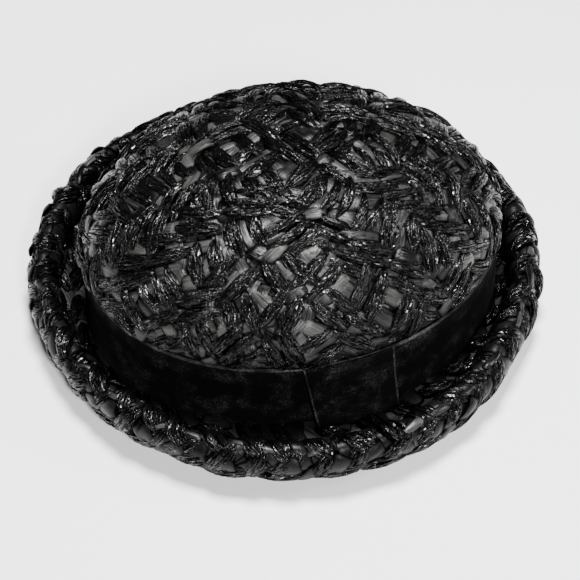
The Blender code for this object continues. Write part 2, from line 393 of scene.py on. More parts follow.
def make_back_straw():
    """Flat herringbone of dull straws, worked out from the angle and arc that the closed walls carry"""
    material, tree, shader = start_material("straw_back")
    angle = carried(tree, "angle")
    arc = carried(tree, "arc")
    row = (arc / ROW_PITCH).step('FLOOR')
    way = row.step('MODULO', 2.0) * 2.0 - 1.0
    slant = (angle * BACK_REACH + arc * way) / (2 * math.pi * BACK_REACH / BACK_CELLS)
    number = slant.step('FLOOR').step('WRAP', BACK_CELLS, 0.0)
    from_middle = (slant.step('FRACT') - 0.5) * 2.0
    place = put(tree, "ShaderNodeCombineXYZ", {"X": number, "Y": row})
    chance_tone = Field(tree, put(tree, "ShaderNodeTexWhiteNoise", {"Vector": place.outputs[0]}).outputs[0])
    spot = put(tree, "ShaderNodeCombineXYZ", {"X": slant * 9.0, "Y": arc * 120.0, "Z": chance_tone * 30.0})
    fibres = put(tree, "ShaderNodeTexNoise", {"Vector": spot.outputs[0], "Scale": 1.0, "Detail": 3.0})
    ribs = Field(tree, fibres.outputs[0])
    rounded = (from_middle ** 4.0).taken_from(1.0)
    shade = (chance_tone * 0.7 + ribs * 0.5) * rounded
    feed(tree, shader.inputs["Base Color"], blend(tree, shade, STRAW_DARK, FLAT_GREY))
    feed(tree, shader.inputs["Roughness"], chance_tone * 0.2 + 0.45)
    shader.inputs["Specular IOR Level"].default_value = 0.08
    bump = put(tree, "ShaderNodeBump", {"Height": rounded + ribs * 0.3, "Distance": 0.0006, "Strength": 1.0})
    feed(tree, shader.inputs["Normal"], bump.outputs[0])
    return material


back_straw = make_back_straw()
wall_foot = [(crown_length * FOOT_FLARE, crown_low.z + FLOOR_GAP), (crown_length, dome_base - SHOULDER_STEP)]
inner_line = dome_line(crown_length - CROWN_BACK_WALL, dome_base, dome_tip - CROWN_BACK_WALL)
inner_line.append((crown_length - CROWN_BACK_WALL, crown_low.z + FLOOR_GAP))
back_corners = wall_foot + outer_line + list(reversed(inner_line[:-1])) + inner_line[-1:]
back_line, back_length = make_line("crown_back_line", back_corners, closed=True)
crown_back = run_tree("crown_back", unit_grid(STEPS_ROUND, 110), back_tree, {
    "Line": back_line, "Line Length": back_length, "Relief": BACK_RELIEF, "Material": back_straw,
    **crown_ovals})
crown_back.data.shade_smooth()
bpy.data.objects.remove(back_line, do_unlink=True)
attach(crown_back, "root")
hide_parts("crown")

# Crinkled bundles of the crown. Each is a lens of crumpled straw strands that comes up from under
# its neighbours and dives again. Groups of two or three lean one way and the groups round them the
# other way, as in a basket weave set on its corner, in rows round the dome and on a plan over its cap.
GROUP_PITCH = 0.0180
CAP_REACH = 0.030
BUNDLE_LEAN = math.radians(47.0)
FACING = math.radians(-107.8)
FOOT_CELLS = 44
STRANDS = 15
STRAND_SEGMENTS = 16
STRAND_RADIUS = 0.00034
CRINKLE = 0.00026
BUNDLE = {"spacing": 0.0089, "long": 0.0148, "wide": 0.0037, "high": 0.0031, "lift": 0.0010}
FLAT = {"long": 0.0092, "wide": 0.0042, "high": 0.0008, "lift": 0.0013, "beside": 0.0022}
BED = {"ahead": 0.0050, "wide": 0.0046, "high": 0.0004, "lift": 0.0004}
STRIP = {"share": 0.25, "wide": 0.0020, "high": 0.0004, "lift": 0.0014}
FOLD = {"share": 0.4, "long": 0.0055, "wide": 0.0038, "high": 0.0007, "lift": 0.0022}
STRAW_GREY = (0.0022, 0.0023, 0.0022, 1.0)
STRAND_FIBRES = {"Dark": STRAW_DARK, "Grey": STRAW_GREY, "Roughness": 0.13, "Rib Scale": 2500.0,
                 "Rib Height": 0.0001, "Crumple Height": 0.0006, "Hollow Shade": 1.0}
RIB_LENGTHWISE = 90.0
CRUMPLE_ACROSS = 1800.0
CRUMPLE_ALONG = 430.0
BLOTCH_SCALE = 190.0
PLACE_OF_TONE = 50.0


def make_fibre_group():
    """Dyed straw: each one its own tone, ribbed along it and crumpled. Painted shade darkens it where it
    dives under, and there and, as far as the straw asks for it, in the hollows of its crumples it is made
    black metal, painted shade that takes out its reflections"""
    kinds = {"Dark": "Color", "Grey": "Color", "Roughness": "Float", "Rib Scale": "Float",
             "Rib Height": "Float", "Crumple Height": "Float", "Hollow Shade": "Float"}
    results = {"Color": "Color", "Roughness": "Float", "Metallic": "Float", "Normal": "Vector"}
    tree, given = start_tree("straw_fibres", kinds, results, 'ShaderNodeTree')
    tone, across, along, crest = (carried(tree, fact) for fact in ("tone", "across", "along", "crest"))
    spot = put(tree, "ShaderNodeTexCoord").outputs["Object"]
    place = put(tree, "ShaderNodeCombineXYZ", {
        "X": across * given["Rib Scale"], "Y": along * RIB_LENGTHWISE, "Z": tone * PLACE_OF_TONE})
    ribs = put(tree, "ShaderNodeTexNoise", {"Vector": place.outputs[0], "Scale": 1.0, "Detail": 2.0})
    blotch = put(tree, "ShaderNodeTexNoise", {"Vector": spot, "Scale": BLOTCH_SCALE, "Detail": 3.0})
    folds = put(tree, "ShaderNodeCombineXYZ", {
        "X": across * CRUMPLE_ACROSS, "Y": along * CRUMPLE_ALONG, "Z": tone * PLACE_OF_TONE})
    crumple = put(tree, "ShaderNodeTexNoise", {"Vector": folds.outputs[0], "Scale": 1.0, "Detail": 2.0})
    shade = tone * 1.1 + Field(tree, ribs.outputs[0]) * 1.7 + Field(tree, blotch.outputs[0]) * 0.7 - 1.36
    # Painted shade: the colour darkens as crest falls towards the sides and ends where the straw dives under
    colour = blend(tree, shade * crest, given["Dark"], given["Grey"])
    # Painted shade: black metal in the crumples' hollows, as far as asked, and where the straw dives under,
    # which takes out the reflections there
    hollow_shade = Field(tree, crumple.outputs[0]).taken_from(0.55) * 6.0 * given["Hollow Shade"]
    dive_shade = (crest.taken_from(1.0) ** 2.0) * 1.3
    painted_shade = hollow_shade.step('MAXIMUM', 0.0).step('MAXIMUM', dive_shade).step('MINIMUM', 1.0)
    rough = Field(tree, blotch.outputs[0]) * 0.20 + (given["Roughness"] - 0.10) + painted_shade * 0.5
    fine = put(tree, "ShaderNodeBump", {
        "Height": ribs.outputs[0], "Distance": given["Rib Height"], "Strength": 1.0})
    coarse = put(tree, "ShaderNodeBump", {
        "Height": crumple.outputs[0], "Distance": given["Crumple Height"], "Strength": 1.0,
        "Normal": fine.outputs[0]})
    put(tree, "NodeGroupOutput", {
        "Color": colour, "Roughness": rough, "Metallic": painted_shade, "Normal": coarse.outputs[0]})
    return tree


fibre_group = make_fibre_group()


def make_straw(name, gloss, values):
    """A straw's own material: the fibres' group with its values, and its gloss"""
    material, tree, shader = start_material(name)
    fibres = put(tree, "ShaderNodeGroup", values, node_tree=fibre_group)
    feed(tree, shader.inputs["Base Color"], fibres.outputs["Color"])
    for fact in ("Roughness", "Metallic", "Normal"):
        feed(tree, shader.inputs[fact], fibres.outputs[fact])
    shader.inputs["Specular IOR Level"].default_value = gloss
    return material


def flat_place(tree, given, offset, distance):
    """Angle and arc of a point of a cell's own flat pattern: turned by its lean and laid on its row, or,
    on the dome's cap, laid on a plan of the cap"""
    lean = named(tree, "lean")
    level = offset * lean.step('COSINE') + distance * lean.step('SINE')
    climb = distance * lean.step('COSINE') - offset * lean.step('SINE')
    cap = named(tree, "cap")
    plan_x = named(tree, "plan_x") + level
    plan_y = (named(tree, "plan_y") + climb) / given["Cap Share"]
    cap_angle = plan_y.step('ARCTAN2', plan_x)
    cap_arc = (plan_x * plan_x + plan_y * plan_y).step('SQRT').taken_from(given["Cap Arc"])
    angle = (named(tree, "angle") + level / named(tree, "rate")) * cap.taken_from(1.0) + cap_angle * cap
    arc = (named(tree, "arc") + climb) * cap.taken_from(1.0) + cap_arc * cap
    return angle, arc


def make_strand_tree():
    """Bundles of crumpled strands: one three-sided tube for each strand of each cell's bundle"""
    tree, given = start_layout("crinkled_bundles", {
        "Strands": "Int", "Strand Radius": "Float", "Material": "Material"})
    copies = put(tree, "GeometryNodeDuplicateElements",
                 {"Geometry": given["Geometry"], "Amount": given["Strands"]}, domain='POINT')
    number = Field(tree, copies.outputs["Duplicate Index"])
    last = put(tree, "ShaderNodeMath", {0: given["Strands"], 1: 1.0}, operation='SUBTRACT')
    jitter = put(tree, "FunctionNodeRandomValue", {2: -0.12, 3: 0.12, "Seed": 3})
    side = number / Field(tree, last.outputs[0]) * 2.0 - 1.0 + Field(tree, jitter.outputs[1])
    kept = store(tree, copies.outputs["Geometry"], "side", side)
    tone = put(tree, "FunctionNodeRandomValue", {2: 0.0, 3: 1.0, "Seed": 5})
    kept = store(tree, kept, "tone", tone.outputs[1])
    tube = put(tree, "GeometryNodeMeshCylinder", {
        "Vertices": 3, "Side Segments": STRAND_SEGMENTS, "Radius": 1.0, "Depth": 2.0}, fill_type='NGON')
    placed = put(tree, "GeometryNodeInstanceOnPoints", {
        "Points": kept, "Instance": tube.outputs["Mesh"]})
    real = put(tree, "GeometryNodeRealizeInstances", {"Geometry": placed.outputs[0]})
    section_u, section_h, along = vector_parts(tree, put(tree, "GeometryNodeInputPosition").outputs[0])
    side = named(tree, "side")
    tone = named(tree, "tone")
    seed = named(tree, "seed") + tone * 40.0
    swell = (along * along).taken_from(1.0).step('MAXIMUM', 0.0) ** 0.75
    end_drop = along ** 6.0
    distance = along * named(tree, "long")
    crumple_u = noise(tree, distance * 330.0, seed * 9.0) * CRINKLE
    crumple_h = noise(tree, distance * 420.0, seed * 7.0 + 31.0) * CRINKLE * 1.3
    twist = along * 2.0 + tone * 6.3
    turned_u = section_u * twist.step('COSINE') - section_h * twist.step('SINE')
    turned_h = section_u * twist.step('SINE') + section_h * twist.step('COSINE')
    lumps = noise(tree, distance * 200.0, seed * 5.0) * 0.5 + 1.0
    thick = given["Strand Radius"] * (swell * 0.7 + 0.3) * lumps
    offset = side * named(tree, "wide") * (swell * 0.88 + 0.12) + crumple_u + turned_u * thick * 1.2
    bulge = (side * side).taken_from(1.0).step('MAXIMUM', 0.0).step('SQRT')
    lift = (named(tree, "high") * bulge * swell + named(tree, "lift") + named(tree, "tilt") * along
            + crumple_h + turned_h * thick - end_drop * 0.0016)
    angle, arc = flat_place(tree, given, offset, distance)
    kept = store(tree, real.outputs[0], "along", distance)
    kept = store(tree, kept, "across", section_u * 0.0006 + side * named(tree, "wide"))
    # crest: 1 on a bundle's middle, 0 at its sides and ends; the straw's material paints shade by it
    kept = store(tree, kept, "crest", (bulge * swell * 1.2).step('MINIMUM', 1.0))
    moved = lay_on_oval(tree, given, kept, angle, arc, lift)
    done = put(tree, "GeometryNodeSetMaterial", {"Geometry": moved, "Material": given["Material"]})
    put(tree, "NodeGroupOutput", {"Geometry": done.outputs[0]})
    return tree


strand_tree = make_strand_tree()
CELL_FACTS = ("angle", "arc", "rate", "lean", "long", "wide", "high", "lift", "tilt", "seed",
              "cap", "plan_x", "plan_y")


def cell_mesh(cells):
    """The cells of a plait as loose points that carry their facts by name"""
    mesh = bpy.data.meshes.new("cells")
    mesh.from_pydata([(0.0, 0.0, 0.0)] * len(cells), [], [])
    for name in CELL_FACTS:
        fact = mesh.attributes.new(name, 'FLOAT', 'POINT')
        fact.data.foreach_set("value", [cell.get(name, 0.0) for cell in cells])
    return mesh


def point_at(line, arc):
    """The point of a line that lies an arc along it"""
    for near, far in zip(line, line[1:]):
        length = math.dist(near, far)
        if arc <= length:
            return near[0] + (far[0] - near[0]) * arc / length
        arc -= length
    return line[-1][0]


def round_rate(angle, half_length, half_width):
    """Metres round an oval for each radian of angle"""
    return math.hypot(half_length * math.sin(angle), half_width * math.cos(angle))


row_count = round((dome_length - CAP_REACH) / ROW_PITCH)
row_width = (dome_length - CAP_REACH) / row_count
chance = random.Random(11)
bundle_cells = []
flat_cells = []


def swing(most):
    """A random number from minus this one to plus this one"""
    return chance.uniform(-most, most)


def vary(value, share):
    """A number made up to this share of itself larger or smaller"""
    return value * chance.uniform(1.0 - share, 1.0 + share)


def shifted(cell, aside, ahead, turned, facts):
    """A copy of a cell moved across and along its own direction and turned, with facts of its own"""
    level = aside * math.cos(cell["lean"]) + ahead * math.sin(cell["lean"])
    climb = ahead * math.cos(cell["lean"]) - aside * math.sin(cell["lean"])
    moved = {**cell, **facts, "lean": cell["lean"] + turned, "seed": chance.uniform(0.0, 60.0)}
    if "cap" in cell:
        moved["plan_x"] += level
        moved["plan_y"] += climb
    else:
        moved["angle"] += level / cell["rate"]
        moved["arc"] += climb
    return moved


def add_group(cell, bundles, flats):
    """Two or three bundles side by side, the flat straws under, beside and between them and the fold at
    their end"""
    count = chance.choice((2, 2, 3))
    cell = shifted(cell, swing(0.0012), swing(0.0042), 0.0, {})
    spacing = BUNDLE["spacing"] * (1.0 if count == 2 else 0.74)
    strip = count == 2 and chance.random() < STRIP["share"]
    if strip:
        spacing *= 1.22
    for number in range(count):
        aside = (number - (count - 1) / 2) * spacing
        bundles.append(shifted(cell, aside, swing(0.0022), swing(0.10), {
            "long": vary(BUNDLE["long"], 0.12), "wide": vary(BUNDLE["wide"] * (2.3 / (count + 0.3)), 0.1),
            "high": vary(BUNDLE["high"], 0.2), "lift": vary(BUNDLE["lift"], 0.5),
            "tilt": swing(0.0007)}))
    half_width = spacing * count / 2
    for end in (-1, 1):
        flats.append(shifted(cell, 0.0, end * BED["ahead"], math.pi / 2 + swing(0.2), {
            "long": half_width + FLAT["beside"], "wide": vary(BED["wide"], 0.15), "high": BED["high"],
            "lift": vary(BED["lift"], 0.3), "tilt": swing(0.0006)}))
    if strip:
        flats.append(shifted(cell, 0.0, 0.0, swing(0.1), {
            "long": BUNDLE["long"] * 0.85, "wide": vary(STRIP["wide"], 0.2), "high": STRIP["high"],
            "lift": STRIP["lift"], "tilt": swing(0.0004)}))
    for way in (-1, 1):
        aside = way * vary(half_width + FLAT["beside"], 0.15)
        flats.append(shifted(cell, aside, swing(0.004), swing(0.25), {
            "long": vary(FLAT["long"], 0.2), "wide": vary(FLAT["wide"], 0.2), "high": vary(FLAT["high"], 0.5),
            "lift": vary(FLAT["lift"], 0.5), "tilt": swing(0.0016)}))
    if chance.random() < FOLD["share"]:
        ahead = chance.choice((-1, 1)) * BUNDLE["long"] * 0.88
        flats.append(shifted(cell, swing(0.003), ahead, swing(0.5), {
            "long": vary(FOLD["long"], 0.2), "wide": vary(FOLD["wide"], 0.2), "high": FOLD["high"],
            "lift": vary(FOLD["lift"], 0.3), "tilt": swing(0.0014)}))


for number in range(FOOT_CELLS):
    angle = 2 * math.pi * (number + swing(0.2)) / FOOT_CELLS
    cell = {"angle": angle, "arc": chance.uniform(0.0015, 0.0035), "lean": chance.uniform(1.25, 1.75),
            "rate": round_rate(angle, crown_length, crown_width)}
    if number % 2:
        bundle_cells.append(shifted(cell, 0.0, 0.0, 0.0, {
            "long": vary(0.014, 0.15), "wide": vary(0.0026, 0.2), "high": 0.0012, "lift": 0.0004,
            "tilt": 0.0}))
    else:
        flat_cells.append(shifted(cell, 0.0, 0.0, swing(0.5), {
            "long": vary(0.0080, 0.15), "wide": vary(0.0045, 0.2), "high": 0.0006, "lift": 0.0012,
            "tilt": swing(0.001)}))
for row in range(row_count):
    reach = point_at(outer_line, row_width * (row + 0.5))
    columns = 2 * round(math.pi * reach * (1 + width_share) / 2 / GROUP_PITCH)
    for column in range(columns):
        angle = FACING + 2 * math.pi * (column + swing(0.08)) / columns
        side_way = 1.0 if (row + column) % 2 else -1.0
        cell = {"angle": angle, "arc": row_width * (row + 0.5) + swing(0.0015),
                "rate": round_rate(angle, reach, reach * width_share),
                "lean": side_way * (BUNDLE_LEAN + swing(0.34))}
        add_group(cell, bundle_cells, flat_cells)
for across in (-1, 0, 1):
    for along in (-1, 0, 1):
        side_way = 1.0 if (across + along) % 2 else -1.0
        cell = {"cap": 1.0, "rate": 1.0, "plan_x": across * GROUP_PITCH + swing(0.001),
                "plan_y": along * GROUP_PITCH + swing(0.001),
                "lean": side_way * (BUNDLE_LEAN + swing(0.22)) - FACING - math.pi / 2}
        add_group(cell, bundle_cells, flat_cells)

strand_straw = make_straw("straw_strands", 0.38, STRAND_FIBRES)
crown_line, _ = make_line("crown_line", outer_line)
bundle_cells.sort(key=lambda cell: dome_length if "cap" in cell else cell["arc"])
third = len(bundle_cells) // 3
bands = {"crown_bundles_low": bundle_cells[:third], "crown_bundles_middle": bundle_cells[third:2 * third],
         "crown_bundles_high": bundle_cells[2 * third:]}
for name, cells in bands.items():
    bundles = run_tree(name, cell_mesh(cells), strand_tree, {
        "Line": crown_line, "Strands": STRANDS, "Strand Radius": STRAND_RADIUS, "Material": strand_straw,
        **crown_ovals})
    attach(bundles, "root")

# Flat straws of the crown. Satin strips lie beside and between the bundles, and short ones turn over
# at their ends. They are split straw, finely ribbed along their length.
RIBBON_COLUMNS = 4
RIBBON_ROWS = 10
CROWN_END_DROP = 0.0014
FLAT_FIBRES = {"Dark": (0.0006, 0.0006, 0.0006, 1.0), "Grey": FLAT_GREY, "Roughness": 0.32,
               "Rib Scale": 1500.0, "Rib Height": 0.0003, "Crumple Height": 0.0001, "Hollow Shade": 0.0}


def make_ribbon_tree():
    """Flat straws: one gently arched strip for each cell, whose ends dive under"""
    tree, given = start_layout("flat_straws", {"End Drop": "Float", "Material": "Material"})
    tone = put(tree, "FunctionNodeRandomValue", {2: 0.0, 3: 1.0, "Seed": 8})
    kept = store(tree, given["Geometry"], "tone", tone.outputs[1])
    strip = put(tree, "GeometryNodeMeshGrid", {
        "Size X": 2.0, "Size Y": 2.0, "Vertices X": RIBBON_COLUMNS + 1, "Vertices Y": RIBBON_ROWS + 1})
    placed = put(tree, "GeometryNodeInstanceOnPoints", {"Points": kept, "Instance": strip.outputs["Mesh"]})
    real = put(tree, "GeometryNodeRealizeInstances", {"Geometry": placed.outputs[0]})
    across, along, _ = vector_parts(tree, put(tree, "GeometryNodeInputPosition").outputs[0])
    seed = named(tree, "seed")
    offset = across * named(tree, "wide") * (noise(tree, along * 1.5, seed * 3.0) * 0.35 + 1.0)
    distance = along * named(tree, "long")
    lift = ((across * across).taken_from(1.0) * named(tree, "high") + named(tree, "lift")
            + named(tree, "tilt") * along + noise(tree, along * 1.2 + across * 0.8, seed * 5.0) * 0.0010
            - (along ** 4.0) * given["End Drop"])
    angle, arc = flat_place(tree, given, offset, distance)
    kept = store(tree, real.outputs[0], "along", distance)
    kept = store(tree, kept, "across", offset)
    # crest: 0 at a flat straw's borders; the straw's material paints shade there
    inside = (across ** 8.0).taken_from(1.0) * (along ** 8.0).taken_from(1.0)
    kept = store(tree, kept, "crest", inside)
    moved = lay_on_oval(tree, given, kept, angle, arc, lift)
    done = put(tree, "GeometryNodeSetMaterial", {"Geometry": moved, "Material": given["Material"]})
    put(tree, "NodeGroupOutput", {"Geometry": done.outputs[0]})
    return tree


ribbon_tree = make_ribbon_tree()
ribbon_straw = make_straw("straw_ribbons", 0.23, FLAT_FIBRES)
crown_ribbons = run_tree("crown_ribbons", cell_mesh(flat_cells), ribbon_tree, {
    "Line": crown_line, "End Drop": CROWN_END_DROP, "Material": ribbon_straw, **crown_ovals})
crown_ribbons.data.shade_smooth()
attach(crown_ribbons, "root")
bpy.data.objects.remove(crown_line, do_unlink=True)

# Back of the brim. The same dark sewn plait, from the crown's foot out to the folded edge. It is a
# shallow saucer, level next to the crown and rising towards the edge, closed above and below.
BRIM_THICKNESS = 0.0024
BRIM_SKIN = 0.0030
CROWN_SET_BACK = 0.0035
BRIM_SHAPE = ({"out": 0.00, "rise": 0.0}, {"out": 0.18, "rise": 0.0}, {"out": 0.40, "rise": 0.25},
              {"out": 0.62, "rise": 0.75}, {"out": 0.80, "rise": 1.0}, {"out": 1.00, "rise": 1.0})

brim_low, brim_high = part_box("brim")
edge_low, edge_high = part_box("edge_braid")
brim_centre = crown_centre - CROWN_SET_BACK
brim_length = brim_high.x - brim_centre
brim_width = side_shift - brim_low.y
foot_length = crown_length * FOOT_FLARE
foot_width = crown_width * FOOT_FLARE
brim_span = (brim_length - foot_length + brim_width - foot_width) / 2
brim_rise = brim_high.z - BRIM_SKIN
brim_ovals = {**crown_ovals, "Dome Dent": 0.0, "Inner Length": foot_length, "Inner Width": foot_width,
              "Outer Centre": brim_centre, "Outer Length": brim_length, "Outer Width": brim_width,
              "Outer Dents": 1.0, "Span": brim_span}
brim_under = [(brim_span * row["out"], brim_low.z + FLOOR_GAP + brim_rise * row["rise"])
              for row in BRIM_SHAPE]
brim_over = [(out, height + BRIM_THICKNESS) for out, height in reversed(brim_under)]
brim_line, brim_line_length = make_line("brim_line", brim_over + brim_under, closed=True)
brim_back = run_tree("brim_back", unit_grid(STEPS_ROUND, 60), back_tree, {
    "Line": brim_line, "Line Length": brim_line_length, "Relief": BACK_RELIEF, "Material": back_straw,
    **brim_ovals})
brim_back.data.shade_smooth()
bpy.data.objects.remove(brim_line, do_unlink=True)
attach(brim_back, "root")
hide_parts("brim")

# Plait of the brim, in the gutter between the ribbon and the folded edge. The same bundles and flat
# straws as the crown's, smaller and flatter, of the duller straw that the edge has too: less glossy, with
# flat straws of a darker grey, which is painted shade. One row lies beside the ribbon and one by the edge.
# A darker copy of the crown's flat grey, for the edge and the gutter: painted shade
EDGE_SHADED_GREY = (0.0052, 0.0053, 0.0050, 1.0)
BRIM_ROWS = ({"place": 0.28, "count": 38, "lean": 50.0}, {"place": 0.66, "count": 34, "lean": -52.0})
BRIM_STRANDS = 10
BRIM_STRAND_RADIUS = 0.00045
BRIM_END_DROP = 0.0012
BRIM_BESIDE = 0.0070
brim_top_line, brim_top_length = make_line("brim_top_line", brim_over)
brim_bundle_cells = []
brim_flat_cells = []
for row in BRIM_ROWS:
    for number in range(row["count"]):
        angle = 2 * math.pi * (number + swing(0.15)) / row["count"]
        cell = {"angle": angle, "arc": brim_top_length * row["place"] + swing(0.0015),
                "rate": round_rate(angle, (foot_length + brim_length) / 2, (foot_width + brim_width) / 2),
                "lean": math.radians(row["lean"]) + swing(0.4)}
        brim_bundle_cells.append(shifted(cell, 0.0, 0.0, 0.0, {
            "long": vary(0.0120, 0.15), "wide": vary(0.0042, 0.15), "high": vary(0.0014, 0.3),
            "lift": vary(0.0008, 0.4), "tilt": 0.0}))
        brim_flat_cells.append(shifted(cell, BRIM_BESIDE, 0.0, swing(0.6), {
            "long": vary(0.0075, 0.2), "wide": vary(0.0042, 0.2), "high": 0.0006, "lift": vary(0.0012, 0.4),
            "tilt": swing(0.0012)}))
# The edge's and the gutter's flat straws: the crown's flat straws in a darker grey, which is painted shade
shaded_edge_straw = make_straw("straw_edge", 0.12, {
    **FLAT_FIBRES, "Grey": EDGE_SHADED_GREY, "Roughness": 0.38, "Rib Height": 0.00022})
edge_strand_straw = make_straw("straw_edge_strands", 0.27, {**STRAND_FIBRES, "Roughness": 0.14})
brim_bundles = run_tree("brim_bundles", cell_mesh(brim_bundle_cells), strand_tree, {
    "Line": brim_top_line, "Strands": BRIM_STRANDS, "Strand Radius": BRIM_STRAND_RADIUS,
    "Material": edge_strand_straw, **brim_ovals})
brim_ribbons = run_tree("brim_ribbons", cell_mesh(brim_flat_cells), ribbon_tree, {
    "Line": brim_top_line, "End Drop": BRIM_END_DROP, "Material": shaded_edge_straw, **brim_ovals})
brim_ribbons.data.shade_smooth()
bpy.data.objects.remove(brim_top_line, do_unlink=True)
for piece in (brim_bundles, brim_ribbons):
    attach(piece, "root")

# Plait folded over the brim's edge. A thick roll, whose bundles and flat straws slant round it in
# four rows from its foot over its crest to its inner face. Narrow straws run along its crest, and the
# folds on its outer face lift at one end, so that its outline is a row of steps.
EDGE_THICKNESS = 0.0130
EDGE_SKIN = 0.0014
EDGE_POWER = 2.5
EDGE_POINT = 0.40
EDGE_RELIEF = 0.0004
EDGE_STRANDS = 13
EDGE_STRAND_RADIUS = 0.00042
EDGE_ROWS = (
    {"place": 0.13, "count": 34, "lean": 76.0, "long": 0.0145, "wide": 0.0050,
     "flat_turn": -0.5, "flat_wide": 0.0036},
    {"place": 0.33, "count": 48, "lean": 48.0, "long": 0.0108, "wide": 0.0040,
     "flat_turn": -1.3, "flat_wide": 0.0042},
    {"place": 0.51, "count": 46, "lean": -54.0, "long": 0.0110, "wide": 0.0040,
     "flat_turn": 0.6, "flat_wide": 0.0038},
    {"place": 0.72, "count": 40, "lean": 50.0, "long": 0.0115, "wide": 0.0042,
     "flat_turn": -0.6, "flat_wide": 0.0040},
)
CREST_STRIPS = 40
CREST_PLACE = 0.46
SCALLOPS = 44

edge_length = edge_high.x - brim_centre - EDGE_SKIN
edge_width = side_shift - edge_low.y - EDGE_SKIN
edge_inner = EDGE_THICKNESS - 2 * EDGE_SKIN
edge_middle = (edge_low.z + edge_high.z) / 2
edge_half_height = (edge_high.z - edge_low.z) / 2 - EDGE_SKIN
edge_ovals = {**brim_ovals, "Inner Centre": brim_centre, "Inner Length": edge_length - edge_inner,
              "Inner Width": edge_width - edge_inner, "Inner Dents": 1.0, "Outer Length": edge_length,
              "Outer Width": edge_width, "Span": edge_inner}


def signed_power(value, power):
    return math.copysign(abs(value) ** power, value)


edge_corners = []
for step in range(LINE_STEPS):
    turn_round = 2 * math.pi * step / LINE_STEPS - math.pi / 2
    waist = 1 - EDGE_POINT * max(0.0, math.sin(turn_round)) ** 2
    edge_corners.append((edge_inner / 2 * (1 + waist * signed_power(math.cos(turn_round), 2 / EDGE_POWER)),
                         edge_middle + edge_half_height * signed_power(math.sin(turn_round), 2 / EDGE_POWER)))
edge_line, edge_line_length = make_line("edge_line", edge_corners, closed=True)
edge_back = run_tree("edge_back", unit_grid(STEPS_ROUND * 2, 32), back_tree, {
    "Line": edge_line, "Line Length": edge_line_length, "Relief": EDGE_RELIEF, "Material": back_straw,
    **edge_ovals})
edge_back.data.shade_smooth()
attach(edge_back, "root")
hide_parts("edge_braid")
edge_bundle_cells = []
edge_flat_cells = []
crest_cells = []
for row in EDGE_ROWS:
    start = chance.uniform(0.0, 1.0)
    for number in range(row["count"]):
        angle = 2 * math.pi * (number + start + swing(0.12)) / row["count"]
        cell = {"angle": angle, "arc": edge_line_length * row["place"] + swing(0.0012),
                "rate": round_rate(angle, edge_length, edge_width),
                "lean": math.radians(row["lean"]) + swing(0.25)}
        edge_bundle_cells.append(shifted(cell, 0.0, 0.0, 0.0, {
            "long": vary(row["long"], 0.12), "wide": vary(row["wide"], 0.15), "high": vary(0.0019, 0.25),
            "lift": vary(0.0012, 0.5), "tilt": chance.uniform(-0.0004, 0.0010)}))
        cell["angle"] += math.pi / row["count"]
        edge_flat_cells.append(shifted(cell, 0.0, 0.0, row["flat_turn"] + swing(0.25), {
            "long": vary(0.0080, 0.15), "wide": vary(row["flat_wide"], 0.15), "high": vary(0.0006, 0.5),
            "lift": vary(0.0013, 0.5), "tilt": swing(0.0012)}))
for number in range(CREST_STRIPS):
    angle = 2 * math.pi * (number + swing(0.3)) / CREST_STRIPS
    crest_cells.append({
        "angle": angle, "arc": edge_line_length * CREST_PLACE + swing(0.0008),
        "rate": round_rate(angle, edge_length, edge_width), "lean": chance.uniform(1.25, 1.8),
        "long": vary(0.0085, 0.3), "wide": vary(0.0012, 0.3), "high": 0.0006, "lift": vary(0.0021, 0.2),
        "tilt": 0.0, "seed": chance.uniform(0.0, 60.0)})
for number in range(SCALLOPS):
    angle = 2 * math.pi * (number + swing(0.25)) / SCALLOPS
    bold = chance.uniform(0.35, 1.0)
    edge_flat_cells.append({
        "angle": angle, "arc": edge_line_length * chance.uniform(0.22, 0.34),
        "rate": round_rate(angle, edge_length, edge_width), "lean": chance.uniform(0.5, 1.3),
        "long": 0.0070, "wide": vary(0.0036, 0.2), "high": 0.0010 * bold, "lift": 0.0008 + 0.0018 * bold,
        "tilt": 0.0018 * bold, "seed": chance.uniform(0.0, 60.0)})
half = len(edge_bundle_cells) // 2
edge_pieces = []
bands = {"edge_bundles_outer": edge_bundle_cells[:half], "edge_bundles_inner": edge_bundle_cells[half:]}
for name, cells in bands.items():
    edge_pieces.append(run_tree(name, cell_mesh(cells), strand_tree, {
        "Line": edge_line, "Strands": EDGE_STRANDS, "Strand Radius": EDGE_STRAND_RADIUS,
        "Material": edge_strand_straw, **edge_ovals}))
edge_ribbons = run_tree("edge_ribbons", cell_mesh(edge_flat_cells), ribbon_tree, {
    "Line": edge_line, "End Drop": BRIM_END_DROP, "Material": shaded_edge_straw, **edge_ovals})
edge_crest = run_tree("edge_crest", cell_mesh(crest_cells), ribbon_tree, {
    "Line": edge_line, "End Drop": BRIM_END_DROP, "Material": ribbon_straw, **edge_ovals})
bpy.data.objects.remove(edge_line, do_unlink=True)
for piece in (edge_ribbons, edge_crest):
    piece.data.shade_smooth()
for piece in (*edge_pieces, edge_ribbons, edge_crest):
    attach(piece, "root")

# Velvet ribbon round the crown. A strip of black cotton velvet, 38 mm wide, drawn round the crown's
# foot. Its pile swallows the light, its nap is mottled with painted sheen, and its woven selvage shows as
# a fine grey ribbed line on top.
BAND_THICKNESS = 0.0010
BAND_SPAN = 0.0100
BAND_SPREAD = 0.0015
BAND_STEPS = 12
BAND_RELIEF = 0.00025
SELVAGE = 0.0018
PILE_DARK = (0.0002, 0.0002, 0.0002, 1.0)
# The lighter colour of the pile is painted sheen, for the patches where its nap catches the light
PILE_PAINTED_SHEEN = (0.0280, 0.0286, 0.0286, 1.0)
SELVAGE_DARK = (0.006, 0.006, 0.006, 1.0)
SELVAGE_LIGHT = (0.080, 0.081, 0.080, 1.0)


